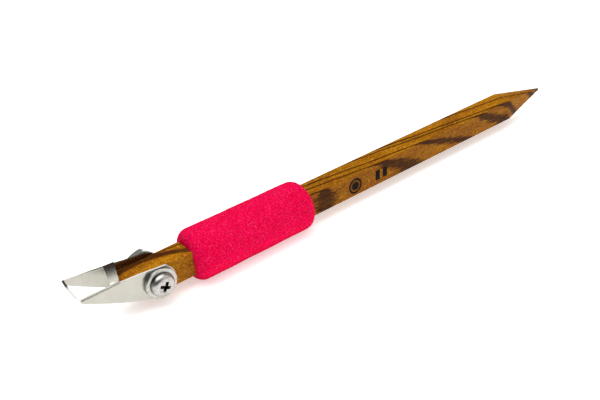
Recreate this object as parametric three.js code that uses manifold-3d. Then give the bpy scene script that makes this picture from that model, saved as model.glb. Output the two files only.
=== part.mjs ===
// Clay carving tool: a folded sheet-steel cutting tip bolted across the front of a square hardwood handle,
// with a foam sleeve as the grip. Millimetres, +Z up, the handle along X with its rear point at +X.
// The origin is the middle of the flat that the sleeve rests on. Inside the tool group the screw's axis is
// the Y axis and the handle's centre line is the X axis.

import * as THREE from "three";
import { mergeVertices } from "three/addons/utils/BufferGeometryUtils.js";
import Module from "manifold-3d";

const wasm = await Module();
wasm.setup();

// ---- driving dimensions ----
const HANDLE = {
  side: 7.94, // five-sixteenths of an inch square
  edgeRadius: 0.5,
  front: -9.7,
  tenonHalf: 3.6, // half width where the legs straddle it
  tenonEnd: 4.5, // the tenon runs back to here
  shoulder: 10.5, // and its sides reach the full width here
  wedgeHeel: -1.6, // the underside is cut away from here to the front,
  wedgeNose: 1.4, // where the cut reaches this height
  pointStart: 147,
  pointEnd: 169.4,
  pointTip: 0.3, // half width left at the very end
};
const GRIP = {
  radius: 8,
  front: 11,
  rear: 53,
  endRadius: 2.5,
  holeClearance: 0.06,
  restHeight: 7.75, // from the centre line down to the flat that the sleeve rests on
};
const SHEET = {
  thickness: 0.5,
  sideGap: 0.1, // between a leg and the tenon
  bendRadius: 1.1, // outside of the fold
  crownSlope: 0.22, // the top is arched: its slope where it meets each fold
  lean: 0.075, // the folded top leans down towards the near side by this much per millimetre
  leanFrom: 2, // and has its plain height this far over towards the far leg
  seatRadius: 5, // round rear end of each leg
  seatDepth: 7, // how far the folded channel reaches below the centre line before it is trimmed
  flareStart: -5.2,
  flarePerMm: 0.0773, // how much each leg opens per millimetre towards the tip
};
const TIP = {
  front: -23.1, // middle of the cutting bar
  bow: 0.5, // how far the bar's middle stands ahead of its ends
  halfSpan: 5.9,
  barWidth: 0.62,
  topHeight: 7.5, // top face of the sheet at the bar
  chinX: -21.8, // lower front corner of each leg
  chinZ: 5.4,
  bellyX: -8.35, // control point of the curved lower edge
  bellyZ: -2.93,
  heelX: -1.3, // where the lower edge meets the round end
};
const BRIDGE = {
  front: -12.45,
  frontSkew: 0.21, // the front edge runs back towards the far leg by this much per millimetre
  rear: -9.6,
  rearSkew: 0.3,
  topHeight: 6.85,
};
const LEG_TOP = {
  tangentX: 0.59, // where the straight upper edge leaves the round end
  tangentZ: 4.965,
  rise: 0.112, // per millimetre towards the tip
};
const WASHER = { radius: 4.7, hole: 1.95, thickness: 1.2, gap: 0.06, edge: 0.25 };
const SCREW = {
  shankRadius: 1.7,
  headRadius: 3.45,
  headHeight: 2.2,
  crownRadius: 1,
  length: 15.9, // under the head, five-eighths of an inch
  recessArm: 1.75,
  recessWidth: 0.75,
  recessDepth: 1.35,
};
const NUT = { acrossFlats: 7.94, thickness: 2.7, bore: 1.85, chamfer: 0.45, cornerAngle: 12 };
const HOLE_RADIUS = 1.95; // through the handle and both legs

const LEG_INSIDE = HANDLE.tenonHalf + SHEET.sideGap;
const LEG_OUTSIDE = LEG_INSIDE + SHEET.thickness;
const WASHER_INSIDE = LEG_OUTSIDE + WASHER.gap;
const WASHER_OUTSIDE = WASHER_INSIDE + WASHER.thickness;
const SEAT_FACE = WASHER_OUTSIDE + WASHER.gap; // under the screw's head, and under the nut
const GRIP_MIDDLE = (GRIP.front + GRIP.rear) / 2;
const FAR = 30; // longer than anything that a cutting solid has to pass through

// ---- solids ----
function solid(geometry) {
  const bare = geometry.clone();
  bare.deleteAttribute("normal");
  bare.deleteAttribute("uv");
  const merged = mergeVertices(bare, 1e-5);
  return new wasm.Manifold(new wasm.Mesh({
    numProp: 3,
    vertProperties: new Float32Array(merged.attributes.position.array),
    triVerts: new Uint32Array(merged.index.array),
  }));
}

function geometryOf(body) {
  const mesh = body.getMesh();
  const geometry = new THREE.BufferGeometry();
  geometry.setAttribute("position", new THREE.BufferAttribute(new Float32Array(mesh.vertProperties), 3));
  geometry.setIndex(new THREE.BufferAttribute(new Uint32Array(mesh.triVerts), 1));
  geometry.computeVertexNormals();
  return geometry;
}

function piece(name, geometry, color, roughness, metalness) {
  const mesh = new THREE.Mesh(geometry, new THREE.MeshStandardMaterial({ color, roughness, metalness }));
  mesh.name = name;
  return mesh;
}

function box(x0, x1, y0, y1, z0, z1) {
  const geometry = new THREE.BoxGeometry(x1 - x0, y1 - y0, z1 - z0);
  geometry.translate((x0 + x1) / 2, (y0 + y1) / 2, (z0 + z1) / 2);
  return solid(geometry);
}

function rodAlongY(radius, y0, y1, sides = 32) {
  const geometry = new THREE.CylinderGeometry(radius, radius, y1 - y0, sides);
  geometry.translate(0, (y0 + y1) / 2, 0);
  return solid(geometry);
}

// An outline drawn in X and Z, made solid from y0 to y1.
function prismAlongY(shape, y0, y1) {
  const geometry = new THREE.ExtrudeGeometry(shape, { depth: y1 - y0, bevelEnabled: false, curveSegments: 14 });
  geometry.rotateX(Math.PI / 2);
  geometry.translate(0, y1, 0);
  return solid(geometry);
}

// Moves each vertex of a geometry by a rule, such as a slope or a flare.
function bend(geometry, rule) {
  const position = geometry.attributes.position;
  const point = new THREE.Vector3();
  for (let i = 0; i < position.count; i += 1) {
    point.fromBufferAttribute(position, i);
    rule(point);
    position.setXYZ(i, point.x, point.y, point.z);
  }
  return geometry;
}

// ---- wood ----
function roundedSquare(side, radius) {
  const half = side / 2;
  const flat = half - radius;
  const shape = new THREE.Shape();
  shape.moveTo(-flat, -half);
  shape.lineTo(flat, -half);
  shape.absarc(flat, -flat, radius, -Math.PI / 2, 0);
  shape.lineTo(half, flat);
  shape.absarc(flat, flat, radius, 0, Math.PI / 2);
  shape.lineTo(-flat, half);
  shape.absarc(-flat, flat, radius, Math.PI / 2, Math.PI);
  shape.lineTo(-half, -flat);
  shape.absarc(-flat, -flat, radius, Math.PI, Math.PI * 1.5);
  return shape;
}

function handle() {
  const length = HANDLE.pointEnd - HANDLE.front;
  const bar = new THREE.ExtrudeGeometry(roundedSquare(HANDLE.side, HANDLE.edgeRadius), {
    depth: length,
    bevelEnabled: false,
    curveSegments: 3,
  });
  bar.rotateY(Math.PI / 2);
  bar.translate(HANDLE.front, 0, 0);
  // A long four-sided pyramid whose faces pass through the bar's faces where the point starts.
  const slope = (HANDLE.side / 2 - HANDLE.pointTip) / (HANDLE.pointEnd - HANDLE.pointStart);
  const baseHalf = HANDLE.pointTip + slope * length;
  const pyramid = new THREE.CylinderGeometry(HANDLE.pointTip * Math.SQRT2, baseHalf * Math.SQRT2, length, 4);
  pyramid.rotateY(Math.PI / 4);
  pyramid.rotateZ(-Math.PI / 2);
  pyramid.translate((HANDLE.front + HANDLE.pointEnd) / 2, 0, 0);
  const body = solid(bar)
    .intersect(solid(pyramid))
    .intersect(tenonPlan())
    .subtract(wedge())
    .subtract(rodAlongY(HOLE_RADIUS, -FAR, FAR));
  return geometryOf(body);
}

// The handle in plan: a tenon that the legs straddle, then shoulders that slope out to the full width.
function tenonPlan() {
  const half = HANDLE.tenonHalf;
  const wide = half + (HANDLE.side / 2 - half) * 2;
  const wideX = HANDLE.tenonEnd + (HANDLE.shoulder - HANDLE.tenonEnd) * 2;
  const side = [
    new THREE.Vector2(HANDLE.front - 1, half),
    new THREE.Vector2(HANDLE.tenonEnd, half),
    new THREE.Vector2(wideX, wide),
    new THREE.Vector2(HANDLE.pointEnd + 1, wide),
  ];
  const mirrored = side.map(({ x, y }) => new THREE.Vector2(x, -y)).reverse();
  const geometry = new THREE.ExtrudeGeometry(new THREE.Shape([...side, ...mirrored]), {
    depth: 2 * FAR,
    bevelEnabled: false,
  });
  geometry.translate(0, 0, -FAR);
  return solid(geometry);
}

// What is cut away under the handle's front end.
function wedge() {
  const half = HANDLE.side / 2;
  const slope = (HANDLE.wedgeNose + half) / (HANDLE.wedgeHeel - HANDLE.front);
  const reach = 2; // past the front and below the underside
  const outline = new THREE.Shape([
    new THREE.Vector2(HANDLE.wedgeHeel + reach / slope, -half - reach),
    new THREE.Vector2(HANDLE.front - reach, HANDLE.wedgeNose + reach * slope),
    new THREE.Vector2(HANDLE.front - reach, -half - reach),
  ]);
  return prismAlongY(outline, -FAR, FAR);
}

// ---- foam ----
function foamGrip() {
  const profile = new THREE.Path();
  profile.moveTo(0, GRIP.front);
  profile.lineTo(GRIP.radius - GRIP.endRadius, GRIP.front);
  profile.absarc(GRIP.radius - GRIP.endRadius, GRIP.front + GRIP.endRadius, GRIP.endRadius, -Math.PI / 2, 0);
  profile.lineTo(GRIP.radius, GRIP.rear - GRIP.endRadius);
  profile.absarc(GRIP.radius - GRIP.endRadius, GRIP.rear - GRIP.endRadius, GRIP.endRadius, 0, Math.PI / 2);
  profile.lineTo(0, GRIP.rear);
  const sleeve = new THREE.LatheGeometry(profile.getPoints(5), 48);
  sleeve.rotateZ(-Math.PI / 2);
  const half = HANDLE.side / 2 + GRIP.holeClearance;
  const hole = box(GRIP.front - 1, GRIP.rear + 1, -half, half, -half, half);
  const below = box(GRIP.front - 1, GRIP.rear + 1, -FAR, FAR, -FAR, -GRIP.restHeight);
  return geometryOf(solid(sleeve).subtract(hole).subtract(below));
}

// ---- steel tip ----
// One face of the folded top in Y and Z: a fold, an arched crown and the other fold.
function archedTop(radius, foldHeight) {
  const fold = LEG_OUTSIDE - SHEET.bendRadius;
  const slope = Math.atan(SHEET.crownSlope);
  const crownHalf = fold + radius * Math.sin(slope);
  const crownEnd = foldHeight + radius * Math.cos(slope);
  const path = new THREE.Path();
  path.absarc(fold, foldHeight, radius, 0, Math.PI / 2 - slope);
  path.quadraticCurveTo(0, crownEnd + SHEET.crownSlope * crownHalf, -crownHalf, crownEnd);
  path.absarc(-fold, foldHeight, radius, Math.PI / 2 + slope, Math.PI);
  return path.getPoints(5);
}

// The folded channel's section in Y and Z: two legs and an arched top, open below.
function channelSection(topHeight) {
  const foldHeight = topHeight - SHEET.bendRadius;
  const outside = archedTop(SHEET.bendRadius, foldHeight);
  const inside = archedTop(SHEET.bendRadius - SHEET.thickness, foldHeight).reverse();
  return new THREE.Shape([
    new THREE.Vector2(LEG_OUTSIDE, -SHEET.seatDepth),
    ...outside,
    new THREE.Vector2(-LEG_OUTSIDE, -SHEET.seatDepth),
    new THREE.Vector2(-LEG_INSIDE, -SHEET.seatDepth),
    ...inside,
    new THREE.Vector2(LEG_INSIDE, -SHEET.seatDepth),
  ]);
}

// Opens a geometry towards the tip, as the legs are opened.
function flare(point) {
  const open = Math.max(0, SHEET.flareStart - point.x) * SHEET.flarePerMm;
  point.y *= 1 + open / LEG_OUTSIDE;
}

// How far the folded top lies below its plain height.
function lean(y) {
  return SHEET.lean * (SHEET.leanFrom - y);
}

// The whole channel, opening towards the tip and rising from the bridge to the bar.
function flaredChannel() {
  const stationLength = -SHEET.flareStart / 2; // puts a row of vertices where the flare starts
  const stations = Math.ceil((-SHEET.flareStart - TIP.front) / stationLength);
  const length = stations * stationLength;
  const channel = new THREE.ExtrudeGeometry(channelSection(BRIDGE.topHeight), {
    depth: length,
    steps: stations,
    bevelEnabled: false,
    curveSegments: 5,
  });
  channel.rotateX(Math.PI / 2);
  channel.rotateZ(-Math.PI / 2);
  channel.translate(-SHEET.flareStart, 0, 0);
  const bridgeMiddle = (BRIDGE.front + BRIDGE.rear) / 2;
  const rise = (TIP.topHeight - BRIDGE.topHeight) / (bridgeMiddle - TIP.front);
  bend(channel, (point) => {
    flare(point);
    if (point.z > 0) {
      point.z += rise * Math.max(0, bridgeMiddle - point.x) - lean(point.y);
    }
  });
  return solid(channel);
}

// The side view of the tip: a raked front, a curved belly and a round end about the screw.
function sideOutline() {
  const heelZ = -Math.sqrt(SHEET.seatRadius ** 2 - TIP.heelX ** 2);
  const heelAngle = Math.atan2(heelZ, TIP.heelX);
  const topAngle = Math.atan2(LEG_TOP.tangentZ, LEG_TOP.tangentX);
  const shape = new THREE.Shape();
  shape.moveTo(TIP.front - 1, FAR);
  shape.lineTo(TIP.front - 1, TIP.topHeight - SHEET.thickness - 0.1);
  shape.lineTo(TIP.chinX - 0.7, TIP.topHeight - SHEET.thickness - 0.1);
  shape.lineTo(TIP.chinX, TIP.chinZ);
  shape.quadraticCurveTo(TIP.bellyX, TIP.bellyZ, TIP.heelX, heelZ);
  shape.absarc(0, 0, SHEET.seatRadius, heelAngle, topAngle);
  shape.lineTo(LEG_TOP.tangentX, FAR);
  return shape;
}

// A bowed line across the tip in plan, from the near side to the far side.
function bowedLine(middle, halfWidth) {
  const points = [];
  const steps = 16;
  for (let i = 0; i <= steps; i += 1) {
    const y = halfWidth * ((2 * i) / steps - 1);
    points.push(new THREE.Vector2(middle + TIP.bow * (y / TIP.halfSpan) ** 2, y));
  }
  return points;
}

// The plan view of the cutting bar's front edge, and everything behind it.
function plan() {
  const wide = TIP.halfSpan + 2;
  const rear = [new THREE.Vector2(FAR, wide), new THREE.Vector2(FAR, -wide)];
  return new THREE.Shape([...bowedLine(TIP.front, wide), ...rear]);
}

// Everything above the legs' straight upper edge, from a curved front to a slanted rear, in plan.
function aboveLegs(shape) {
  const geometry = new THREE.ExtrudeGeometry(shape, { depth: FAR, bevelEnabled: false });
  bend(geometry, (point) => {
    point.z += LEG_TOP.tangentZ + LEG_TOP.rise * (LEG_TOP.tangentX - point.x) - lean(point.y);
  });
  return solid(geometry);
}

// The opening between the cutting bar and the bridge, in plan.
function windowPlan() {
  const wide = TIP.halfSpan + 1;
  return new THREE.Shape([
    ...bowedLine(TIP.front + TIP.barWidth, wide),
    new THREE.Vector2(BRIDGE.front + BRIDGE.frontSkew * wide, wide),
    new THREE.Vector2(BRIDGE.front - BRIDGE.frontSkew * wide, -wide),
  ]);
}

// Everything behind the bridge, in plan.
function behindBridgePlan() {
  const wide = TIP.halfSpan + 1;
  return new THREE.Shape([
    new THREE.Vector2(BRIDGE.rear - BRIDGE.rearSkew * wide, -wide),
    new THREE.Vector2(FAR, -wide),
    new THREE.Vector2(FAR, wide),
    new THREE.Vector2(BRIDGE.rear + BRIDGE.rearSkew * wide, wide),
  ]);
}

// What lies between the legs, from the folds up. It stops a little short of each leg's inner face.
function betweenLegs(plan) {
  const inside = LEG_INSIDE - 0.02;
  const below = 1; // how far under the legs' upper edge it starts
  const length = FAR;
  const slab = new THREE.BoxGeometry(length, 2 * inside, FAR, Math.round(length), 1, 1);
  slab.translate(SHEET.flareStart - length / 2, 0, LEG_TOP.tangentZ - below + FAR / 2);
  bend(slab, flare);
  const column = new THREE.ExtrudeGeometry(plan, { depth: 2 * FAR, bevelEnabled: false });
  return solid(slab).intersect(solid(column));
}

function blade() {
  const frontTrim = new THREE.ExtrudeGeometry(plan(), { depth: 2 * FAR, bevelEnabled: false });
  frontTrim.translate(0, 0, -FAR);
  const body = flaredChannel()
    .intersect(prismAlongY(sideOutline(), -FAR, FAR))
    .intersect(solid(frontTrim))
    .subtract(aboveLegs(windowPlan()))
    .subtract(betweenLegs(windowPlan()))
    .subtract(aboveLegs(behindBridgePlan()))
    .subtract(betweenLegs(behindBridgePlan()))
    .subtract(rodAlongY(HOLE_RADIUS, -FAR, FAR));
  return geometryOf(body);
}

// ---- fasteners ----
function clampScrew() {
  const top = -SEAT_FACE - SCREW.headHeight;
  const profile = new THREE.Path();
  profile.moveTo(0, top);
  profile.lineTo(SCREW.headRadius - SCREW.crownRadius, top + 0.12);
  profile.absarc(
    SCREW.headRadius - SCREW.crownRadius,
    top + 0.12 + SCREW.crownRadius,
    SCREW.crownRadius,
    -Math.PI / 2,
    0,
  );
  profile.lineTo(SCREW.headRadius, -SEAT_FACE);
  profile.lineTo(SCREW.shankRadius, -SEAT_FACE);
  profile.lineTo(SCREW.shankRadius, SCREW.length - SEAT_FACE - 0.5);
  profile.lineTo(SCREW.shankRadius - 0.5, SCREW.length - SEAT_FACE);
  profile.lineTo(0, SCREW.length - SEAT_FACE);
  let body = solid(new THREE.LatheGeometry(profile.getPoints(5), 32));
  for (const turn of [0.35, 0.35 + Math.PI / 2]) {
    const slot = new THREE.BoxGeometry(2 * SCREW.recessArm, 2 * SCREW.recessDepth, SCREW.recessWidth);
    slot.rotateY(turn);
    slot.translate(0, top, 0);
    body = body.subtract(solid(slot));
  }
  return geometryOf(body);
}

function washer(inside) {
  const outside = inside + WASHER.thickness;
  const profile = [
    [WASHER.hole, inside],
    [WASHER.radius - WASHER.edge, inside],
    [WASHER.radius, inside + WASHER.edge],
    [WASHER.radius, outside - WASHER.edge],
    [WASHER.radius - WASHER.edge, outside],
    [WASHER.hole, outside],
    [WASHER.hole, inside],
  ].map(([radius, y]) => new THREE.Vector2(radius, y));
  return new THREE.LatheGeometry(profile, 40);
}

function hexNut() {
  const corner = NUT.acrossFlats / Math.sqrt(3);
  const corners = [];
  for (let i = 0; i < 6; i += 1) {
    const angle = THREE.MathUtils.degToRad(90 - NUT.cornerAngle + 60 * i);
    corners.push(new THREE.Vector2(corner * Math.cos(angle), corner * Math.sin(angle)));
  }
  const body = prismAlongY(new THREE.Shape(corners), SEAT_FACE, SEAT_FACE + NUT.thickness);
  // A turned blank with chamfered ends takes the corners off the hexagon.
  const profile = [
    [0, SEAT_FACE],
    [corner, SEAT_FACE],
    [corner, SEAT_FACE + NUT.thickness - NUT.chamfer / 2],
    [corner - NUT.chamfer, SEAT_FACE + NUT.thickness],
    [0, SEAT_FACE + NUT.thickness],
  ].map(([radius, y]) => new THREE.Vector2(radius, y));
  const blank = solid(new THREE.LatheGeometry(profile, 36));
  return geometryOf(body.intersect(blank).subtract(rodAlongY(NUT.bore, -FAR, FAR)));
}

// ---- assembly ----
const STEEL = 0xcfc9bd;
const tool = new THREE.Group();
tool.position.set(-GRIP_MIDDLE, 0, GRIP.restHeight);
tool.add(piece("handle", handle(), 0xb4782c, 0.45, 0));
tool.add(piece("foam_grip", foamGrip(), 0xf80f55, 0.95, 0));
tool.add(piece("blade", blade(), STEEL, 0.3, 1));
tool.add(piece("clamp_screw", clampScrew(), STEEL, 0.25, 1));
tool.add(piece("nut_washer", washer(WASHER_INSIDE), STEEL, 0.3, 1));
tool.add(piece("hex_nut", hexNut(), STEEL, 0.3, 1));
const headWasher = piece("head_washer", washer(WASHER_INSIDE), STEEL, 0.3, 1);
headWasher.rotation.z = Math.PI;
tool.add(headWasher);

const object = new THREE.Group();
object.add(tool);
export default object;
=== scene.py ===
import math

import bmesh
import bpy
from mathutils import Matrix, Vector, noise


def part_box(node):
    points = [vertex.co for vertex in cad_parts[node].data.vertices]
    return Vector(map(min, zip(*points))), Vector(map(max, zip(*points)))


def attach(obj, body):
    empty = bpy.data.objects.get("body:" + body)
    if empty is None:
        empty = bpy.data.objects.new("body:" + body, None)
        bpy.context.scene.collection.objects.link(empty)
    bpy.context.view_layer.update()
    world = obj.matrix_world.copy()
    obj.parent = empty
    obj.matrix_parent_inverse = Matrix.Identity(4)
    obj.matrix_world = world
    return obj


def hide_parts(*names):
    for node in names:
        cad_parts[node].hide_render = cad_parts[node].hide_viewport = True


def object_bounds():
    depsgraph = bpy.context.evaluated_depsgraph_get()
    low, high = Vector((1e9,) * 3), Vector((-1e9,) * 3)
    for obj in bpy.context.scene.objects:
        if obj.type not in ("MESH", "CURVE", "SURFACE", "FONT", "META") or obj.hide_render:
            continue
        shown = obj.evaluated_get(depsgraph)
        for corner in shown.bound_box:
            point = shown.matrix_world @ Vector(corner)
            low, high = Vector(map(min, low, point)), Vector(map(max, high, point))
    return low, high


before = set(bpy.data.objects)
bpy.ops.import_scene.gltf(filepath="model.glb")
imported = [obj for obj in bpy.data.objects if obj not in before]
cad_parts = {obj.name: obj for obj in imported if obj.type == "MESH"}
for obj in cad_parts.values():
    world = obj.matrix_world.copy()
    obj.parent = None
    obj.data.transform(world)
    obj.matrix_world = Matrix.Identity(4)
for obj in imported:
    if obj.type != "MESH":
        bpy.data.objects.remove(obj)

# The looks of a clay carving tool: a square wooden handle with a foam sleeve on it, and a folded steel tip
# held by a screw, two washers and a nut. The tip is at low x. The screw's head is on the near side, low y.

CAD_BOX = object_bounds()
MM = 0.001

# ---- places and sizes read from the frame ----
HANDLE_LOW, HANDLE_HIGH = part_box("handle")
GRIP_LOW, GRIP_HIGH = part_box("foam_grip")
HEAD_WASHER_LOW, HEAD_WASHER_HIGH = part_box("head_washer")
NUT_WASHER_LOW, NUT_WASHER_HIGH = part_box("nut_washer")
SCREW_LOW, SCREW_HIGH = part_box("clamp_screw")
NUT_LOW, NUT_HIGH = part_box("hex_nut")
SCREW_X = (SCREW_LOW.x + SCREW_HIGH.x) / 2
AXIS_Z = (HANDLE_LOW.z + HANDLE_HIGH.z) / 2
HANDLE_HALF = (HANDLE_HIGH.y - HANDLE_LOW.y) / 2

# ---- driving dimensions, in metres ----
# The sleeve has small cells on broad shallow dents, sunk a little so that it stays inside its CAD solid.
FOAM = {
    "radius": (GRIP_HIGH.y - GRIP_LOW.y) / 2,
    "end_radius": 3.2 * MM,
    "hole_half": HANDLE_HALF + 0.03 * MM,
    "hole_corner": 0.6 * MM,
    "cell": 0.55 * MM,
    "cell_depth": 0.06 * MM,
    "dent": 7 * MM,
    "dent_depth": 0.1 * MM,
    "sunk": 0.08 * MM,
}
# How many points there are around the sleeve, and rings across its parts.
FOAM_RINGS = {"around": 280, "face": 5, "end": 14, "length": 180, "hole": 24}

# A pan-head machine screw. Its thread's crests are flat by how much "crest" is over 1, and the thread runs
# out over a share of the last turn. "middle" is the radius of the small hole in each end that is closed last,
# and the far end is this share of the bottom of the thread.
SCREW = {
    "head_radius": (SCREW_HIGH.x - SCREW_LOW.x) / 2,
    "seat_y": HEAD_WASHER_LOW.y - 0.06 * MM,
    "major": 1.72 * MM,
    "minor": 1.34 * MM,
    "pitch": 0.794 * MM,
    "crest": 1.25,
    "run_out": 0.7,
    "neck": 1.2 * MM,
    "neck_round": 0.15 * MM,
    "crown": 1.5 * MM,
    "dome": 0.28 * MM,
    "rim_round": 0.1 * MM,
    "middle": 0.02 * MM,
    "end_share": 0.98,
}

# The screw's cross recess. The wedges that cut it start above the head, where they are wider by "flare", and
# narrow to these shares of the arm and the width at the recess's floor.
RECESS = {
    "arm": 1.85 * MM,
    "width": 1.02 * MM,
    "depth": 1.3 * MM,
    "above": 0.5 * MM,
    "turn": math.radians(30),
    "flare": 1.12,
    "floor_arm": 0.5,
    "floor_width": 0.7,
}

# The nut's chamfer starts at this share of its flats, and there is a small land between it and the sides.
NUT = {
    "flats_half": 3.97 * MM,
    "bore": 1.78 * MM,
    "corner_turn": math.radians(90 - 12),
    "chamfer_share": 0.965,
    "chamfer_slope": math.tan(math.radians(28)),
    "land": 0.06 * MM,
    "edge_round": 0.05 * MM,
    "sink": 0.22 * MM,
    "thread_depth": 0.14 * MM,
}
WASHER = {"radius": 4.7 * MM, "bore": 1.95 * MM, "edge": 0.22 * MM, "bore_edge": 0.08 * MM}

ROUND_SEGMENTS = {"washer": 96, "screw": 96, "nut": 144}
HANDLE_EDGE = 0.16 * MM
BLADE_EDGE = 0.09 * MM

# The folded sheet: from the middle to each leg's inner face, where ahead of the screw the legs start to
# open, and how much each one opens per metre from there.
LEG_INSIDE = 3.7 * MM
FLARE_START = -5.2 * MM
FLARE = 0.077

# The cutting bar's depth from the very front, and how high its underside is.
BAR = {"depth": 1.1 * MM, "underside": AXIS_Z + 6.2 * MM}


# ---- mesh helpers ----
def mesh_object(name, verts, faces, smooth=True):
    mesh = bpy.data.meshes.new(name)
    mesh.from_pydata(verts, [], faces)
    mesh.update()
    if smooth:
        mesh.shade_smooth()
    obj = bpy.data.objects.new(name, mesh)
    bpy.context.scene.collection.objects.link(obj)
    return obj


def grid_faces(rows, columns, close_rows=False):
    """Quads between rows of points, each row closed on itself. close_rows joins the last row to row 0."""
    faces = []
    last = rows if close_rows else rows - 1
    for i in range(last):
        a = i * columns
        b = ((i + 1) % rows) * columns
        for j in range(columns):
            k = (j + 1) % columns
            faces.append((a + j, a + k, b + k, b + j))
    return faces


def recalculate_normals(obj):
    bm = bmesh.new()
    bm.from_mesh(obj.data)
    bmesh.ops.recalc_face_normals(bm, faces=bm.faces)
    bm.to_mesh(obj.data)
    bm.free()


def turned(name, profile, segments, shape=None, closed=True):
    """A section turned about the screw's axis.

    profile holds (radius, y) pairs. Where a surface isn't round, its pair has a word instead of a radius,
    and shape(word, y, angle) gives the radius and y there. closed joins the last ring to the first.
    """
    verts = []
    for radius, y in profile:
        for j in range(segments):
            angle = 2 * math.pi * j / segments
            r, along = shape(radius, y, angle) if shape else (radius, y)
            verts.append((SCREW_X + r * math.cos(angle), along, AXIS_Z + r * math.sin(angle)))
    obj = mesh_object(name, verts, grid_faces(len(profile), segments, close_rows=closed))
    recalculate_normals(obj)
    return obj


def arc(cx, cy, radius, start, end, steps):
    """Points of an arc, angles in degrees."""
    points = []
    for i in range(steps + 1):
        angle = math.radians(start + (end - start) * i / steps)
        points.append((cx + radius * math.cos(angle), cy + radius * math.sin(angle)))
    return points


def modifier(obj, name, kind, **settings):
    made = obj.modifiers.new(name, kind)
    for key, value in settings.items():
        setattr(made, key, value)


def soften_edges(obj, width, angle, segments):
    """Joins the faces of a CAD part, and rounds the edges that are sharper than angle."""
    modifier(obj, "weld", "WELD", merge_threshold=1e-6)
    modifier(obj, "flat_faces", "DECIMATE", decimate_type="DISSOLVE", angle_limit=math.radians(1))
    modifier(
        obj, "edges", "BEVEL", width=width, segments=segments, limit_method="ANGLE",
        angle_limit=math.radians(angle),
    )
    modifier(obj, "normals", "WEIGHTED_NORMAL", keep_sharp=True)
    obj.data.shade_smooth()


# ---- shader helpers ----
class Shader:
    """A material's node tree, with short calls for the nodes that are used here."""

    def __init__(self, name):
        self.material = bpy.data.materials.new(name)
        self.material.use_nodes = True
        self.tree = self.material.node_tree
        self.bsdf = self.tree.nodes["Principled BSDF"]
        self.position = self.node("ShaderNodeTexCoord").outputs["Object"]

    def node(self, kind, **settings):
        made = self.tree.nodes.new(kind)
        for key, value in settings.items():
            setattr(made, key, value)
        return made

    def put(self, socket, value):
        if isinstance(value, bpy.types.NodeSocket):
            self.tree.links.new(value, socket)
        else:
            socket.default_value = value

    def math(self, operation, a, b=0.0, c=0.0):
        made = self.node("ShaderNodeMath", operation=operation)
        for socket, value in zip(made.inputs, (a, b, c)):
            self.put(socket, value)
        return made.outputs[0]

    def axes(self, vector=None):
        """The x, y and z of a vector, or of the shaded place if there is none."""
        made = self.node("ShaderNodeSeparateXYZ")
        self.put(made.inputs[0], vector or self.position)
        return made.outputs

    def combine(self, x, y, z):
        made = self.node("ShaderNodeCombineXYZ")
        for socket, value in zip(made.inputs, (x, y, z)):
            self.put(socket, value)
        return made.outputs[0]

    def stretched(self, scale, turn=(0, 0, 0)):
        """The shaded place, turned and then scaled by a number for each axis."""
        made = self.node("ShaderNodeMapping")
        self.put(made.inputs["Vector"], self.position)
        made.inputs["Rotation"].default_value = turn
        made.inputs["Scale"].default_value = scale
        return made.outputs[0]

    def noise(self, vector, scale=1.0, detail=3.0, roughness=0.5):
        made = self.node("ShaderNodeTexNoise")
        self.put(made.inputs["Vector"], vector)
        self.put(made.inputs["Scale"], scale)
        self.put(made.inputs["Detail"], detail)
        self.put(made.inputs["Roughness"], roughness)
        return made.outputs["Fac"]

    def cells(self, vector, scale):
        """The distance to the middle of the nearest cell."""
        made = self.node("ShaderNodeTexVoronoi")
        self.put(made.inputs["Vector"], vector)
        self.put(made.inputs["Scale"], scale)
        return made.outputs["Distance"]

    def remap(self, value, low, high, to_low=0.0, to_high=1.0):
        """Goes smoothly from to_low, where value is low or less, to to_high, where it is high or more."""
        made = self.node("ShaderNodeMapRange", interpolation_type="SMOOTHSTEP")
        for socket, number in zip(made.inputs, (value, low, high, to_low, to_high)):
            self.put(socket, number)
        return made.outputs[0]

    def mix(self, factor, a, b):
        made = self.node("ShaderNodeMix", data_type="RGBA")
        # The first input is the factor, and inputs 6 and 7 and output 2 are the ones that hold colours.
        for socket, value in ((made.inputs[0], factor), (made.inputs[6], a), (made.inputs[7], b)):
            self.put(socket, value)
        return made.outputs[2]

    def bump(self, height, distance, strength, normal=None):
        made = self.node("ShaderNodeBump")
        self.put(made.inputs["Height"], height)
        self.put(made.inputs["Distance"], distance)
        self.put(made.inputs["Strength"], strength)
        if normal is not None:
            self.put(made.inputs["Normal"], normal)
        return made.outputs[0]

    def surface(self, **sockets):
        for key, value in sockets.items():
            self.put(self.bsdf.inputs[key.replace("_", " ")], value)
        return self.material


def rgb(red, green, blue):
    return (red, green, blue, 1.0)


# ---- wood's colours and grain ----
WOOD = {
    "amber": rgb(0.25, 0.082, 0.002),
    "honey": rgb(0.5, 0.205, 0.004),
    "streak": rgb(0.25, 0.075, 0.003),
    "fibre": rgb(0.13, 0.034, 0.002),
    "glint": rgb(0.8, 0.4, 0.03),
    "pore": rgb(0.07, 0.02, 0.002),
    "stripe": rgb(0.045, 0.01, 0.002),
    # Painted shade for the handle's near side, darker than the top.
    "near_side": rgb(0.15, 0.04, 0.002),
    "growth": rgb(0.024, 0.006, 0.002),
    "grimy_point": rgb(0.03, 0.018, 0.01),
    "burn": rgb(0.006, 0.003, 0.002),
}

# How fine each field in the wood is along the grain and across it, in features per metre.
GRAIN = {
    "patch": (60, 260),
    "streak": (130, 2600),
    "fibre": (420, 5200),
    "pores": (700, 3600),
    "glint": (1500, 2200),
    "wander": (45, 160),
    "ragged": (330, 2600),
}

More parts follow.
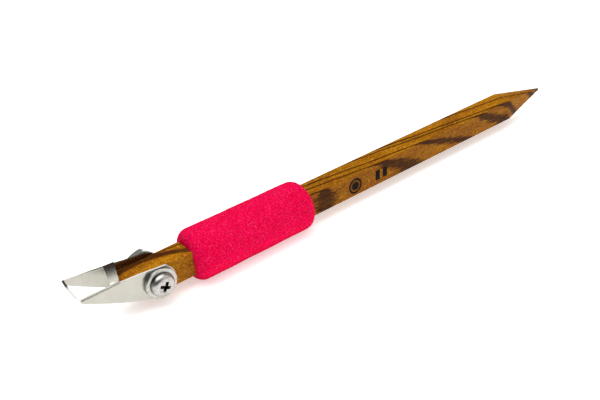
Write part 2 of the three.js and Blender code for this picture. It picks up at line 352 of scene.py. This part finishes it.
# Each dark growth line: where it crosses the handle's near top edge, in metres behind the screw, its half
# width on the top, how much wider it is down the side, and how far it leans back there, per metre down.
GROWTH_LINES = (
    (0.0577, 0.4 * MM, 0.38 * MM, 0.03),
    (0.0825, 0.5 * MM, 0.42 * MM, 0.27),
    (0.1015, 0.52 * MM, 0.15 * MM, 0.38),
    (0.131, 0.46 * MM, 0.22 * MM, 0.24),
    (0.1435, 0.52 * MM, 0.1 * MM, 0.24),
    (0.176, 0.44 * MM, 0.2 * MM, 0.3),
    (0.212, 0.44 * MM, 0.2 * MM, 0.3),
)
GROWTH_ALONG = 0.13  # how much the growth layers turn across the handle, per metre along it
GROWTH_WIDENS = (0.4 * MM, 3.2 * MM)  # how far down from the top the lines start and end getting wider

# How far the wandering, streaky and ragged fields push the growth lines about. The ragged one does it least
# on the top, and more by the last value down the side.
GROWTH_PUSH = {"wander": 1.0 * MM, "streak": 0.3 * MM, "ragged_top": 0.25 * MM, "ragged_side": 1.9 * MM}

# One broad brown stripe curves over the front of the top: how far behind the screw and towards the far side
# its crest is, how sharply it curves away from there (per metre), its half width, how far the streaks push
# it about, and how far down from the top it starts and ends fading.
STRIPE = {
    "crest_x": -3 * MM,
    "crest_y": 2.8 * MM,
    "curve": 24.5,
    "half": 1.5 * MM,
    "push": 0.8 * MM,
    "fade": (0.3 * MM, 2 * MM),
}

# The plain mark: its disc's middle and radius, the radius and half width of the ring left bare in it, how
# far behind its middle the two blocks are, their half sizes, and how soft the burned edges are.
MARK = {
    "centre": (SCREW_X + 71.2 * MM, AXIS_Z - 0.2 * MM),
    "disc": 2.8 * MM,
    "groove": 1.75 * MM,
    "groove_half": 0.22 * MM,
    "blocks": (9.7 * MM, 12.9 * MM),
    "block_half": (1.05 * MM, 1.85 * MM),
    "soft": 0.18 * MM,
}
GRIMY_POINT = (6 * MM, 0.5 * MM)  # how far from the handle's point the grime starts and is full


def grain(shader, name, detail, roughness=0.5):
    """A field that is drawn out along the handle."""
    along, across = GRAIN[name]
    return shader.noise(shader.stretched((along, across, across)), detail=detail, roughness=roughness)


def length_of(shader, a, b):
    """How far a place is from the middle, from its distances along two axes."""
    squares = shader.math("MULTIPLY_ADD", a, a, shader.math("MULTIPLY", b, b))
    return shader.math("SQRT", squares)


def pushed(shader, value, field, amount):
    """The value, pushed up or down by up to half the amount."""
    return shader.math("MULTIPLY_ADD", shader.math("SUBTRACT", field, 0.5), amount, value)


def growth_line(shader, layer, depth, place, width, spread):
    """How dark the wood is, from 0 to 1, where it is close to one growth line."""
    distance = shader.math("ABSOLUTE", shader.math("SUBTRACT", layer, place))
    half = shader.math("MULTIPLY_ADD", depth, spread, width)
    return shader.remap(shader.math("DIVIDE", distance, half), 0.45, 1.0, 1.0, 0.0)


def growth_layers(shader, x, y, z, streak):
    """Growth layers lean across the handle: a line runs aslant along the top and broadly down the side."""
    wander = grain(shader, "wander", detail=2)
    ragged = grain(shader, "ragged", detail=3, roughness=0.7)
    start, end = GROWTH_WIDENS
    depth = shader.remap(z, HANDLE_HIGH.z - start, HANDLE_HIGH.z - end)
    push = GROWTH_PUSH
    ragged_push = shader.math("MULTIPLY_ADD", depth, push["ragged_side"], push["ragged_top"])
    layer = shader.math("MULTIPLY_ADD", x, GROWTH_ALONG, y)
    for field, amount in ((wander, push["wander"]), (streak, push["streak"]), (ragged, ragged_push)):
        layer = pushed(shader, layer, field, amount)
    dark = 0.0
    for behind_screw, width, spread, back in GROWTH_LINES:
        place = -HANDLE_HALF + (SCREW_X + behind_screw) * GROWTH_ALONG + HANDLE_HIGH.z * back
        leaning = shader.math("MULTIPLY_ADD", z, back, layer)
        line = growth_line(shader, leaning, depth, place, width, spread)
        dark = shader.math("MAXIMUM", dark, line)
    return dark


def front_stripe(shader, x, y, z, streak):
    """1 on the broad brown stripe at the front of the handle's top."""
    dx = shader.math("SUBTRACT", x, SCREW_X + STRIPE["crest_x"])
    bend = shader.math("MULTIPLY", shader.math("MULTIPLY", dx, dx), STRIPE["curve"])
    across = shader.math("ADD", shader.math("SUBTRACT", y, STRIPE["crest_y"]), bend)
    away = pushed(shader, shader.math("ABSOLUTE", across), streak, STRIPE["push"])
    stripe = shader.remap(away, STRIPE["half"] * 0.5, STRIPE["half"], 1.0, 0.0)
    full, gone = STRIPE["fade"]
    return shader.math("MULTIPLY", stripe, shader.remap(z, HANDLE_HIGH.z - gone, HANDLE_HIGH.z - full))


def near_side(shader, y, inside):
    """1 on the handle's near side, and 0 from a little way inside it."""
    return shader.remap(y, -HANDLE_HALF + 0.1 * MM, -HANDLE_HALF + inside, 1.0, 0.0)


def burned_mark(shader, x, y, z):
    """A plain disc with a bare ring in it and two plain blocks, on the near side: 1 where it is burned."""
    soft = MARK["soft"]
    dx = shader.math("SUBTRACT", x, MARK["centre"][0])
    dz = shader.math("SUBTRACT", z, MARK["centre"][1])
    radius = length_of(shader, dx, dz)
    disc = shader.remap(radius, MARK["disc"] - soft, MARK["disc"], 1.0, 0.0)
    from_groove = shader.math("ABSOLUTE", shader.math("SUBTRACT", radius, MARK["groove"]))
    groove = shader.remap(from_groove, MARK["groove_half"], MARK["groove_half"] + soft, 0.35, 1.0)
    mark = shader.math("MULTIPLY", disc, groove)
    half_wide, half_tall = MARK["block_half"]
    tall = shader.remap(shader.math("ABSOLUTE", dz), half_tall - soft, half_tall, 1.0, 0.0)
    for offset in MARK["blocks"]:
        along = shader.math("ABSOLUTE", shader.math("SUBTRACT", dx, offset))
        wide = shader.remap(along, half_wide - soft, half_wide, 1.0, 0.0)
        mark = shader.math("MAXIMUM", mark, shader.math("MULTIPLY", wide, tall))
    return shader.math("MULTIPLY", mark, near_side(shader, y, 0.3 * MM))


def wood_material():
    shader = Shader("oiled_hardwood")
    x, y, z = shader.axes()
    streak = grain(shader, "streak", detail=4, roughness=0.65)
    fibre = grain(shader, "fibre", detail=3, roughness=0.65)
    pores = grain(shader, "pores", detail=2, roughness=0.7)
    patch = grain(shader, "patch", detail=3)
    glint = grain(shader, "glint", detail=2)
    colour = shader.mix(shader.remap(patch, 0.3, 0.7), WOOD["amber"], WOOD["honey"])
    colour = shader.mix(shader.remap(streak, 0.4, 0.66, 0.0, 0.8), colour, WOOD["streak"])
    colour = shader.mix(shader.remap(fibre, 0.52, 0.68, 0.0, 0.8), colour, WOOD["fibre"])
    colour = shader.mix(shader.remap(glint, 0.54, 0.7, 0.0, 0.6), colour, WOOD["glint"])
    colour = shader.mix(shader.remap(pores, 0.6, 0.68, 0.0, 0.8), colour, WOOD["pore"])
    strand = shader.remap(fibre, 0.35, 0.62, 1.0, 0.8)
    stripe = shader.math("MULTIPLY", front_stripe(shader, x, y, z, streak), strand)
    colour = shader.mix(stripe, colour, WOOD["stripe"])
    # Painted shade: the near side is darker than the top.
    near_side_shade = shader.math("MULTIPLY", near_side(shader, y, 0.5 * MM), 0.3)
    colour = shader.mix(near_side_shade, colour, WOOD["near_side"])
    unbroken = shader.remap(fibre, 0.3, 0.6, 1.0, 0.78)
    growth = shader.math("MULTIPLY", growth_layers(shader, x, y, z, streak), unbroken)
    colour = shader.mix(growth, colour, WOOD["growth"])
    # Handled until dark at the very point.
    start, full = GRIMY_POINT
    grime = shader.remap(x, HANDLE_HIGH.x - start, HANDLE_HIGH.x - full, 0.0, 0.85)
    colour = shader.mix(grime, colour, WOOD["grimy_point"])
    mark = shader.math("MULTIPLY", burned_mark(shader, x, y, z), shader.remap(streak, 0.2, 0.42, 0.8, 1.0))
    colour = shader.mix(mark, colour, WOOD["burn"])
    normal = shader.bump(streak, 0.05 * MM, 0.6)
    normal = shader.bump(fibre, 0.04 * MM, 0.6, normal=normal)
    normal = shader.bump(shader.math("MULTIPLY", mark, -1.0), 0.12 * MM, 0.8, normal=normal)
    rough = shader.remap(streak, 0.2, 0.8, 0.38, 0.58)
    return shader.surface(Base_Color=colour, Roughness=rough, Normal=normal, Specular_IOR_Level=0.04)


# ---- foam's colours ----
PINK = {
    "deep": rgb(0.62, 0.0, 0.025),
    "bright": rgb(0.98, 0.003, 0.09),
    "pore": rgb(0.36, 0.0, 0.01),
    "faded": rgb(1.0, 0.006, 0.12),
    "sparkle": rgb(1.0, 0.1, 0.24),
    # Painted shade for the sleeve's underside.
    "underside_shade": rgb(0.42, 0.0, 0.02),
}


def foam_material():
    shader = Shader("pink_foam")
    pores = shader.cells(shader.position, scale=2600)
    fine = shader.noise(shader.position, scale=2300, detail=3, roughness=0.7)
    broad = shader.noise(shader.position, scale=160, detail=3)
    sparkle = shader.noise(shader.position, scale=3300, detail=1)
    colour = shader.mix(shader.remap(fine, 0.3, 0.7), PINK["deep"], PINK["bright"])
    colour = shader.mix(shader.remap(pores, 0.12, 0.45, 0.6, 0.0), colour, PINK["pore"])
    colour = shader.mix(shader.remap(broad, 0.3, 0.75, 0.0, 0.25), colour, PINK["faded"])
    sparkling = shader.math("MULTIPLY", shader.remap(sparkle, 0.6, 0.7), 0.55)
    colour = shader.mix(sparkling, colour, PINK["sparkle"])
    # Painted shade: the sleeve is darker towards the bottom, where it rests.
    underside_shade = shader.remap(shader.axes()[2], 0.5 * MM, 6 * MM, 0.85, 0.0)
    colour = shader.mix(underside_shade, colour, PINK["underside_shade"])
    height = shader.math("MULTIPLY_ADD", fine, 0.8, pores)
    normal = shader.bump(height, 0.22 * MM, 0.8)
    return shader.surface(Base_Color=colour, Roughness=1.0, Normal=normal, Specular_IOR_Level=0.02)


# ---- steel's colours ----
SHEET = {
    "base": rgb(0.39, 0.38, 0.335),
    "light": rgb(0.48, 0.465, 0.41),
    "blotch": rgb(0.37, 0.35, 0.295),
    # Painted reflection of the wood, dark brown, on the far inside of the tip.
    "wood_reflection": rgb(0.24, 0.13, 0.06),
    # Pale steel: partly real dullness, partly painted highlight.
    "worn_and_lit": rgb(0.72, 0.71, 0.66),
}
PLATED = {
    "base": rgb(0.37, 0.362, 0.335),
    "light": rgb(0.54, 0.53, 0.49),
    "blotch": rgb(0.2, 0.192, 0.175),
    # Painted shadow of the head on the washer.
    "head_shadow": rgb(0.07, 0.065, 0.06),
    # Painted shade deep in the screw's recess.
    "recess_shade": rgb(0.02, 0.014, 0.01),
}
WOOD_REFLECTION_SPAN = (13 * MM, 10.5 * MM)  # how far ahead of the screw the painted reflection of the wood starts and is full
HEAD_SHADOW_RADII = (3.4 * MM, 3.8 * MM)  # the radii where the painted shadow of the head fades, the washer starting and ending getting brighter


def cut_edges(shader, x, y):
    """1 on the near leg's sheared upper edge, which is duller than the rolled faces and painted pale as a
    highlight.
    """
    up = shader.axes(shader.node("ShaderNodeNewGeometry").outputs["Normal"])[2]
    opened = shader.math("MAXIMUM", shader.math("SUBTRACT", SCREW_X + FLARE_START, x), 0.0)
    out = shader.math("MULTIPLY_ADD", opened, -FLARE, shader.math("MULTIPLY", y, -1.0))
    outside = shader.remap(out, LEG_INSIDE - 0.1 * MM, LEG_INSIDE)
    return shader.math("MULTIPLY", outside, shader.remap(up, 0.6, 0.9))


def worn_and_lit_bar(shader, x, y, z):
    """1 on the near part of the cutting bar, worn dull by the clay and painted pale as a highlight."""
    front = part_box("blade")[0].x
    behind = front + BAR["depth"]
    ahead = shader.remap(x, behind, behind + 0.4 * MM, 1.0, 0.0)
    high = shader.remap(z, BAR["underside"], BAR["underside"] + 0.2 * MM)
    near = shader.remap(y, -0.5 * MM, 1.6 * MM, 1.0, 0.0)
    return shader.math("MULTIPLY", shader.math("MULTIPLY", ahead, high), near)


def wood_reflection(shader, x, y):
    """Painted reflection: 1 on the far half of the tip, on its inside and behind the window, where a dark
    brown reflection of the wood is painted.
    """
    far = shader.remap(y, -0.5 * MM, 3.2 * MM)
    inside = shader.remap(y, LEG_INSIDE + 0.1 * MM, LEG_INSIDE + 0.3 * MM, 1.0, 0.0)
    start, full = WOOD_REFLECTION_SPAN
    rear = shader.remap(x, SCREW_X - start, SCREW_X - full)
    return shader.math("MULTIPLY", shader.math("MULTIPLY", far, inside), rear)


def sheet_steel_material():
    shader = Shader("satin_sheet_steel")
    x, y, z = shader.axes()
    # Rolled sheet: fine lines across the tip, with faint blotches and a few longer scratches.
    lines = shader.noise(shader.stretched((9000, 500, 500)), detail=3, roughness=0.65)
    blotch = shader.noise(shader.stretched((330, 330, 330)), detail=4, roughness=0.6)
    scratch_field = shader.noise(shader.stretched((600, 600, 14000), turn=(0.0, 0.5, 0.0)), detail=2)
    scratch = shader.remap(scratch_field, 0.66, 0.72)
    colour = shader.mix(lines, SHEET["base"], SHEET["light"])
    colour = shader.mix(shader.remap(blotch, 0.35, 0.75, 0.0, 0.35), colour, SHEET["blotch"])
    # Painted reflection: the wood's dark brown reflection on the far inside of the tip.
    colour = shader.mix(shader.math("MULTIPLY", wood_reflection(shader, x, y), 0.75), colour, SHEET["wood_reflection"])
    # Partly real dullness, partly painted highlight: the cut edge and the bar's near part are painted pale.
    dull_and_lit = shader.math("MAXIMUM", cut_edges(shader, x, y), worn_and_lit_bar(shader, x, y, z))
    colour = shader.mix(dull_and_lit, colour, SHEET["worn_and_lit"])
    rough = shader.math("MULTIPLY_ADD", scratch, 0.12, shader.remap(lines, 0.2, 0.8, 0.2, 0.3))
    rough = shader.math("MULTIPLY_ADD", dull_and_lit, 0.4, rough)
    metallic = shader.math("MULTIPLY_ADD", dull_and_lit, -0.85, 1.0)
    height = shader.math("ADD", shader.math("MULTIPLY", lines, 0.6), shader.math("MULTIPLY", scratch, -0.5))
    normal = shader.bump(height, 0.01 * MM, 0.5)
    return shader.surface(Base_Color=colour, Metallic=metallic, Roughness=rough, Normal=normal)


def recess_shade_mask(shader, radius, y):
    """1 deep in the driver's recess, where shade is painted near black."""
    sunk = shader.remap(y, SCREW_LOW.y + 0.35 * MM, SCREW_LOW.y + 0.7 * MM)
    inner = shader.remap(radius, RECESS["arm"], RECESS["arm"] + 0.25 * MM, 1.0, 0.0)
    before_seat = shader.remap(y, SCREW["seat_y"] - 0.4 * MM, SCREW["seat_y"], 1.0, 0.0)
    return shader.math("MULTIPLY", shader.math("MULTIPLY", sunk, inner), before_seat)


def head_shadow(shader, radius, y):
    """Most on the washer close around the head, where the head's shadow is painted dark."""
    close = shader.remap(radius, *HEAD_SHADOW_RADII, 0.75, 0.0)
    behind_head = shader.remap(y, SCREW["seat_y"] - 0.35 * MM, SCREW["seat_y"] - 0.1 * MM)
    return shader.math("MULTIPLY", close, behind_head)


def fastener_material():
    shader = Shader("bright_plated_steel")
    x, y, z = shader.axes()
    radius = length_of(shader, shader.math("SUBTRACT", x, SCREW_X), shader.math("SUBTRACT", z, AXIS_Z))
    rings = shader.combine(shader.math("MULTIPLY", radius, 9000), shader.math("MULTIPLY", y, 5000), 0.0)
    turning = shader.noise(rings, detail=2)
    blotch = shader.noise(shader.position, scale=900, detail=4, roughness=0.65)
    colour = shader.mix(turning, PLATED["base"], PLATED["light"])
    colour = shader.mix(shader.remap(blotch, 0.42, 0.72, 0.0, 0.6), colour, PLATED["blotch"])
    # Painted shadow: the head's shadow on the washer around it.
    colour = shader.mix(head_shadow(shader, radius, y), colour, PLATED["head_shadow"])
    # Painted shade: the recess is painted near black.
    recess_shade = shader.math("MULTIPLY", recess_shade_mask(shader, radius, y), 0.92)
    colour = shader.mix(recess_shade, colour, PLATED["recess_shade"])
    rough = shader.remap(blotch, 0.25, 0.75, 0.24, 0.4)
    normal = shader.bump(turning, 0.012 * MM, 0.5, normal=shader.bump(blotch, 0.03 * MM, 0.35))
    return shader.surface(Base_Color=colour, Metallic=1.0, Roughness=rough, Normal=normal)


def paint(obj, material):
    obj.data.materials.clear()
    obj.data.materials.append(material)


# ---- foam sleeve ----
def rounded_square(half, corner, angle):
    """The distance from the middle to a square's edge at an angle, with its corners rounded a little."""
    power = 2 / (corner / half)
    c, s = abs(math.cos(angle)), abs(math.sin(angle))
    return half / (c ** power + s ** power) ** (1 / power)


def foam_stations():
    """(x, share of the way from the hole's square to a circle, radius) for each ring round the section."""
    low, high = GRIP_LOW.x, GRIP_HIGH.x
    end, radius = FOAM["end_radius"], FOAM["radius"]
    face_radius = radius - end
    face, length, hole = FOAM_RINGS["face"], FOAM_RINGS["length"], FOAM_RINGS["hole"]
    stations = []
    for i in range(face + 1):
        stations.append((low, i / face, face_radius))
    for px, py in arc(end, face_radius, end, 180, 90, steps=FOAM_RINGS["end"])[1:]:
        stations.append((low + px, 1.0, py))
    for i in range(1, length):
        stations.append((low + end + (high - low - 2 * end) * i / length, 1.0, radius))
    for px, py in arc(-end, face_radius, end, 90, 0, steps=FOAM_RINGS["end"]):
        stations.append((high + px, 1.0, py))
    for i in range(face - 1, -1, -1):
        stations.append((high, i / face, face_radius))
    for i in range(1, hole):
        stations.append((high + (low - high) * i / hole, 0.0, face_radius))
    return stations


def outward(point, radius):
    """The direction out of the sleeve: away from its axis on its side, and along the axis on its ends."""
    away = Vector((0, point.y, point.z)).normalized()
    if radius == FOAM["radius"]:
        return away
    along = -1 if point.x < (GRIP_LOW.x + GRIP_HIGH.x) / 2 else 1
    lean = (FOAM["radius"] - radius) / FOAM["end_radius"]
    return (away * (1 - lean) + Vector((along * lean, 0, 0))).normalized()


def cellular(point):
    """How far the foam's surface stands out at a point: small cells, and broad shallow dents."""
    cells = noise.noise(point / FOAM["cell"]) + 0.5 * noise.noise(point / (0.45 * FOAM["cell"]))
    dents = noise.noise(point / FOAM["dent"])
    return FOAM["cell_depth"] * cells + FOAM["dent_depth"] * dents - FOAM["sunk"]


def foam_sleeve():
    around = FOAM_RINGS["around"]
    verts = []
    stations = foam_stations()
    for x, share, radius in stations:
        for j in range(around):
            angle = 2 * math.pi * j / around
            square = rounded_square(FOAM["hole_half"], FOAM["hole_corner"], angle)
            r = square + (radius - square) * share
            point = Vector((x, r * math.cos(angle), r * math.sin(angle)))
            # The surface is smooth in the hole, and cellular from a third of the way across each end.
            point += outward(point, radius) * cellular(point) * min(1.0, share * 3)
            point.z = max(point.z + AXIS_Z, 0.0)
            verts.append(point)
    obj = mesh_object("foam_sleeve", verts, grid_faces(len(stations), around, close_rows=True))
    recalculate_normals(obj)
    return obj


# ---- fasteners ----
def washer_ring(name, low, high):
    edge, small = WASHER["edge"], WASHER["bore_edge"]
    inner, outer = WASHER["bore"], WASHER["radius"]
    profile = arc(outer - edge, low.y + edge, edge, -90, 0, steps=5)
    profile += arc(outer - edge, high.y - edge, edge, 0, 90, steps=5)
    profile += arc(inner + small, high.y - small, small, 90, 180, steps=3)
    profile += arc(inner + small, low.y + small, small, 180, 270, steps=3)
    return turned(name, profile, ROUND_SEGMENTS["washer"])


def hexagon_radius(angle):
    """The nut's outline: the distance from its middle to a flat at an angle."""
    sixth = math.pi / 3
    off = (angle - NUT["corner_turn"]) % sixth - sixth / 2
    return NUT["flats_half"] / math.cos(off)


def thread_phase(y, angle):
    """How far round its next turn a thread is, from 0 to 1."""
    return (y / SCREW["pitch"] - angle / (2 * math.pi)) % 1


def hex_nut():
    """A nut with chamfered corners and an internal thread, as one closed section of rings."""
    near, far = NUT_LOW.y, NUT_HIGH.y
    bore, land, sink = NUT["bore"], NUT["land"], NUT["sink"]
    chamfer = NUT["flats_half"] * NUT["chamfer_share"]
    profile = [
        (bore, near + sink), (bore + sink, near), (chamfer, near),
        ("near_edge", near), ("near_side", near), ("far_side", far), ("far_edge", far),
        (chamfer, far), (bore + sink, far), (bore, far - sink),
    ]
    rings_per_half_turn = 4
    steps = 2 * int((far - near - 2 * sink) / SCREW["pitch"] * rings_per_half_turn)
    for i in range(1, steps):
        profile.append(("thread", far - sink + (near - far + 2 * sink) * i / steps))

    def shape(place, y, angle):
        if place == "thread":
            return bore + NUT["thread_depth"] * (1 - abs(2 * thread_phase(y, angle) - 1)), y
        if not isinstance(place, str):
            return place, y
        reach = hexagon_radius(angle)
        drop = max(0.0, reach - chamfer) * NUT["chamfer_slope"]
        if place == "near_edge":
            return reach - NUT["edge_round"], near + drop
        if place == "near_side":
            return reach, near + drop + land
        if place == "far_side":
            return reach, far - drop - land
        return reach - NUT["edge_round"], far - drop

    return turned("hex_nut_piece", profile, ROUND_SEGMENTS["nut"], shape=shape)


def screw_profile():
    """Pan head, plain neck and threaded length, as (radius, y) pairs from the head's middle to the end."""
    head, seat, top, tip = SCREW["head_radius"], SCREW["seat_y"], SCREW_LOW.y, SCREW_HIGH.y
    crown, dome, under = SCREW["crown"], SCREW["dome"], SCREW["rim_round"]
    face = head - crown
    face_rings = 8
    profile = [(SCREW["middle"], top)]
    for i in range(1, face_rings):
        share = i / face_rings
        profile.append((face * share, top + dome * share ** 2))
    profile += arc(face, top + dome + crown, crown, -90, 0, steps=14)
    profile += arc(head - under, seat - under, under, 0, 90, steps=4)
    profile += [(SCREW["major"] + SCREW["neck_round"], seat), (SCREW["major"], seat + SCREW["neck_round"])]
    thread_start = seat + SCREW["neck"]
    rings_per_turn = 10
    steps = int((tip - thread_start) / SCREW["pitch"] * rings_per_turn)
    for i in range(steps + 1):
        profile.append(("thread", thread_start + (tip - thread_start) * i / steps))
    return profile + [(SCREW["minor"] * SCREW["end_share"], tip), (SCREW["middle"], tip)]


def screw_body():
    """The screw without its recess, closed at both ends."""
    major, minor, pitch = SCREW["major"], SCREW["minor"], SCREW["pitch"]
    thread_start, tip = SCREW["seat_y"] + SCREW["neck"], SCREW_HIGH.y

    def shape(place, y, angle):
        if place != "thread":
            return place, y
        ridge = min(1.0, SCREW["crest"] * (1 - abs(2 * thread_phase(y, angle) - 1)))
        ease = max(0.0, min(1.0, (y - thread_start) / pitch, (tip - y) / (SCREW["run_out"] * pitch)))
        return minor + (major - minor) * ridge * ease, y

    obj = turned("screw_piece", screw_profile(), ROUND_SEGMENTS["screw"], shape=shape, closed=False)
    bm = bmesh.new()
    bm.from_mesh(obj.data)
    bmesh.ops.holes_fill(bm, edges=[e for e in bm.edges if e.is_boundary], sides=0)
    bmesh.ops.recalc_face_normals(bm, faces=bm.faces)
    bm.to_mesh(obj.data)
    bm.free()
    return obj


def recess_cutter():
    """Two crossed wedges, as a cross-recess driver's tip."""
    bm = bmesh.new()
    arm, half = RECESS["arm"], RECESS["width"] / 2
    for turn in (0.0, math.pi / 2):
        wedge = bmesh.ops.create_cube(bm, size=1.0)["verts"]
        for v in wedge:
            deep = v.co.y > 0
            v.co.x = math.copysign(arm * (RECESS["floor_arm"] if deep else RECESS["flare"]), v.co.x)
            v.co.z = math.copysign(half * (RECESS["floor_width"] if deep else RECESS["flare"]), v.co.z)
            v.co.y = RECESS["depth"] if deep else -RECESS["above"]
        bmesh.ops.rotate(bm, verts=wedge, matrix=Matrix.Rotation(turn, 3, "Y"))
    mesh = bpy.data.meshes.new("recess_cutter")
    bm.to_mesh(mesh)
    bm.free()
    cutter = bpy.data.objects.new("recess_cutter", mesh)
    bpy.context.scene.collection.objects.link(cutter)
    turned_about_axis = Matrix.Rotation(RECESS["turn"], 4, "Y")
    cutter.matrix_world = Matrix.Translation((SCREW_X, SCREW_LOW.y, AXIS_Z)) @ turned_about_axis
    return cutter


def cut_recess(screw):
    cutter = recess_cutter()
    modifier(
        screw, "recess", "BOOLEAN", operation="DIFFERENCE", object=cutter, solver="EXACT", use_self=True,
    )
    bpy.context.view_layer.update()
    shown = screw.evaluated_get(bpy.context.evaluated_depsgraph_get())
    made = bpy.data.meshes.new_from_object(shown)
    screw.modifiers.clear()
    screw.data = made
    bpy.data.objects.remove(cutter)


def screw_piece():
    screw = screw_body()
    cut_recess(screw)
    screw.data.shade_smooth()
    screw.data.set_sharp_from_angle(angle=math.radians(38))
    return screw


# ---- putting the pieces on the frame ----
def stand_for(piece, node, body, material):
    paint(piece, material)
    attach(piece, body)
    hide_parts(node)


def dress_object():
    wood = wood_material()
    steel = sheet_steel_material()
    plated = fastener_material()
    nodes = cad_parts
    soften_edges(nodes["handle"], HANDLE_EDGE, angle=40, segments=3)
    paint(nodes["handle"], wood)
    soften_edges(nodes["blade"], BLADE_EDGE, angle=40, segments=2)
    paint(nodes["blade"], steel)
    sleeve = foam_sleeve()
    stand_for(sleeve, "foam_grip", "grip", foam_material())
    near = washer_ring("head_washer_piece", HEAD_WASHER_LOW, HEAD_WASHER_HIGH)
    stand_for(near, "head_washer", "screw", plated)
    far = washer_ring("nut_washer_piece", NUT_WASHER_LOW, NUT_WASHER_HIGH)
    stand_for(far, "nut_washer", "far_washer", plated)
    nut = hex_nut()
    nut.data.set_sharp_from_angle(angle=math.radians(35))
    stand_for(nut, "hex_nut", "nut", plated)
    screw = screw_piece()
    stand_for(screw, "clamp_screw", "screw", plated)


# ---- floor, light and camera ----
CAMERA = {
    "aim": Vector((21.1 * MM, 1.7 * MM, AXIS_Z)),
    "azimuth": math.radians(-35.29),
    "elevation": math.radians(31.88),
    "roll": math.radians(-5.13),
    "distance": 0.2304,
    "lens": 44.16,
    "sensor": 36,
    "clip_start": 0.005,
}
FLOOR = {
    "half": 3.0,
    "drop": 0.02 * MM,
    "shade": rgb(0.93, 0.93, 0.93),
    "light": rgb(0.96, 0.96, 0.96),
    "glow": rgb(1.0, 1.0, 1.0),
    "glow_strength": 0.5,
}
TOP_LIGHT = {
    "azimuth": math.radians(-120),
    "elevation": math.radians(70),
    "distance": 0.9,
    "size": 0.9,
    "power": 3.2,
}

# Parts of the studio that glow: which way each one is, the cosines of the angles from there where its glow
# starts and is full, and its brightness outside and inside.
CEILING = {"towards": (0, 0, 1), "start": 0.68, "full": 0.93, "outside": 0.07, "inside": 2.1}
BRIGHT_WALL = {"towards": (0.75, -0.6, 0.25), "start": 0.55, "full": 0.85, "outside": 0.0, "inside": 0.9}


def direction_at(azimuth, elevation):
    """A direction from the object. Azimuth 0 is towards the near side, and low x is at minus 90 degrees."""
    level = math.cos(elevation)
    return Vector((math.sin(azimuth) * level, -math.cos(azimuth) * level, math.sin(elevation)))


def facing(back):
    """The turn that makes a camera or a light look against a direction."""
    return back.to_track_quat("Z", "Y").to_matrix().to_4x4()


def camera():
    back = direction_at(CAMERA["azimuth"], CAMERA["elevation"])
    data = bpy.data.cameras.new("camera")
    data.lens = CAMERA["lens"]
    data.sensor_width = CAMERA["sensor"]
    data.clip_start = CAMERA["clip_start"]
    obj = bpy.data.objects.new("camera", data)
    bpy.context.scene.collection.objects.link(obj)
    place = Matrix.Translation(CAMERA["aim"] + back * CAMERA["distance"])
    turn = facing(back) @ Matrix.Rotation(CAMERA["roll"], 4, "Z")
    obj.matrix_world = place @ turn
    bpy.context.scene.camera = obj


def floor():
    half = FLOOR["half"]
    corners = [(x * half, y * half, 0) for x, y in ((-1, -1), (1, -1), (1, 1), (-1, 1))]
    obj = mesh_object("floor", corners, [(0, 1, 2, 3)], smooth=False)
    obj.location.z = -FLOOR["drop"]
    shader = Shader("paper_floor")
    fibres = shader.noise(shader.position, scale=900, detail=4)
    colour = shader.mix(fibres, FLOOR["shade"], FLOOR["light"])
    material = shader.surface(
        Base_Color=colour,
        Roughness=0.9,
        Specular_IOR_Level=0.0,
        Emission_Color=FLOOR["glow"],
        Emission_Strength=FLOOR["glow_strength"],
    )
    paint(obj, material)


def top_light():
    """A soft square light that faces the object's middle from above."""
    back = direction_at(TOP_LIGHT["azimuth"], TOP_LIGHT["elevation"])
    data = bpy.data.lights.new("top_light", "AREA")
    data.shape = "SQUARE"
    data.size = TOP_LIGHT["size"]
    data.energy = TOP_LIGHT["power"]
    obj = bpy.data.objects.new("top_light", data)
    bpy.context.scene.collection.objects.link(obj)
    middle = (CAD_BOX[0] + CAD_BOX[1]) / 2
    obj.matrix_world = Matrix.Translation(middle + back * TOP_LIGHT["distance"]) @ facing(back)


def glow(tree, direction, part):
    """How bright one part of the studio is in a direction."""
    dot = tree.nodes.new("ShaderNodeVectorMath")
    dot.operation = "DOT_PRODUCT"
    dot.inputs[1].default_value = Vector(part["towards"]).normalized()
    tree.links.new(direction, dot.inputs[0])
    shade = tree.nodes.new("ShaderNodeMapRange")
    shade.interpolation_type = "SMOOTHSTEP"
    for socket, key in zip(shade.inputs[1:5], ("start", "full", "outside", "inside")):
        socket.default_value = part[key]
    tree.links.new(dot.outputs["Value"], shade.inputs[0])
    return shade.outputs[0]


def studio_world():
    """A white ceiling over dark walls, with one bright wall, so that the metal has something to reflect."""
    world = bpy.data.worlds.new("studio")
    world.use_nodes = True
    tree = world.node_tree
    direction = tree.nodes.new("ShaderNodeTexCoord").outputs["Generated"]
    brightest = tree.nodes.new("ShaderNodeMath")
    brightest.operation = "MAXIMUM"
    tree.links.new(glow(tree, direction, CEILING), brightest.inputs[0])
    tree.links.new(glow(tree, direction, BRIGHT_WALL), brightest.inputs[1])
    tree.links.new(brightest.outputs[0], tree.nodes["Background"].inputs["Color"])
    tree.nodes["Background"].inputs["Strength"].default_value = 1.0
    bpy.context.scene.world = world


def studio():
    studio_world()
    top_light()
    bpy.context.scene.view_settings.view_transform = "Standard"


camera()
dress_object()
floor()
studio()
